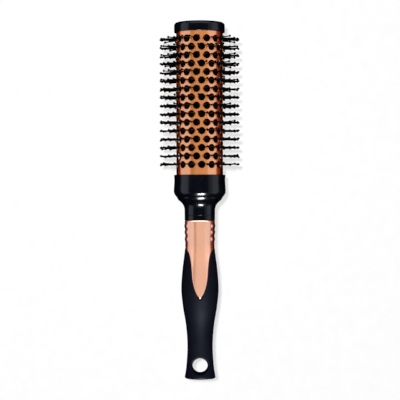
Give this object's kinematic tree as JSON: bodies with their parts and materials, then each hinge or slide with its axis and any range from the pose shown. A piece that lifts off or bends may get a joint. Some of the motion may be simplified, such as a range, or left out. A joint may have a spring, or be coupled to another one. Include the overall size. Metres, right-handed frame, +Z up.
{
  "type": "round hair brush",
  "caption": "Round thermal hair brush: vented metal barrel with nylon bristles, black end cap and collar, and a copper-toned handle in a rubber grip with a hanging eye.",
  "frame": {"origin": "middle of the brush's length, on the plane that the lowest bristle tips touch", "axes": "+Y along the brush's axis towards the end cap, +Z up out of the handle's front window, +X to the right seen from above with the end cap away"},
  "size_m": [0.055, 0.2448, 0.055],
  "materials": {
    "anodised_barrel": "copper-orange anodised, satin",
    "gloss_black": "moulded, polished",
    "bristle_nylon": "black nylon",
    "spindle_plastic": "moulded, matt",
    "copper_core": "metallic copper lacquer on a moulded core",
    "grip_rubber": "soft-touch, matt"
  },
  "bodies": {
    "root": {"barrel": "anodised_barrel", "bristle_spindle": "spindle_plastic", "bristle_strip_01": "bristle_nylon", "bristle_strip_02": "bristle_nylon", "bristle_strip_03": "bristle_nylon", "bristle_strip_04": "bristle_nylon", "bristle_strip_05": "bristle_nylon", "bristle_strip_06": "bristle_nylon", "bristle_strip_07": "bristle_nylon", "bristle_strip_08": "bristle_nylon", "bristle_strip_09": "bristle_nylon", "bristle_strip_10": "bristle_nylon", "bristle_strip_11": "bristle_nylon", "bristle_strip_12": "bristle_nylon", "bristle_strip_13": "bristle_nylon", "bristle_strip_14": "bristle_nylon", "bristle_strip_15": "bristle_nylon", "bristle_strip_16": "bristle_nylon", "bristle_strip_17": "bristle_nylon", "bristle_strip_18": "bristle_nylon", "bristle_strip_19": "bristle_nylon", "bristle_strip_20": "bristle_nylon", "bristle_strip_21": "bristle_nylon", "bristle_strip_22": "bristle_nylon", "bristle_strip_23": "bristle_nylon", "bristle_strip_24": "bristle_nylon", "bristle_strip_25": "bristle_nylon", "bristle_strip_26": "bristle_nylon", "bristle_strip_27": "bristle_nylon", "bristle_strip_28": "bristle_nylon", "end_cap": "gloss_black", "collar": "gloss_black", "neck_ring": "gloss_black", "handle_core": "copper_core", "grip_sleeve": "grip_rubber"}
  },
  "joints": []
}
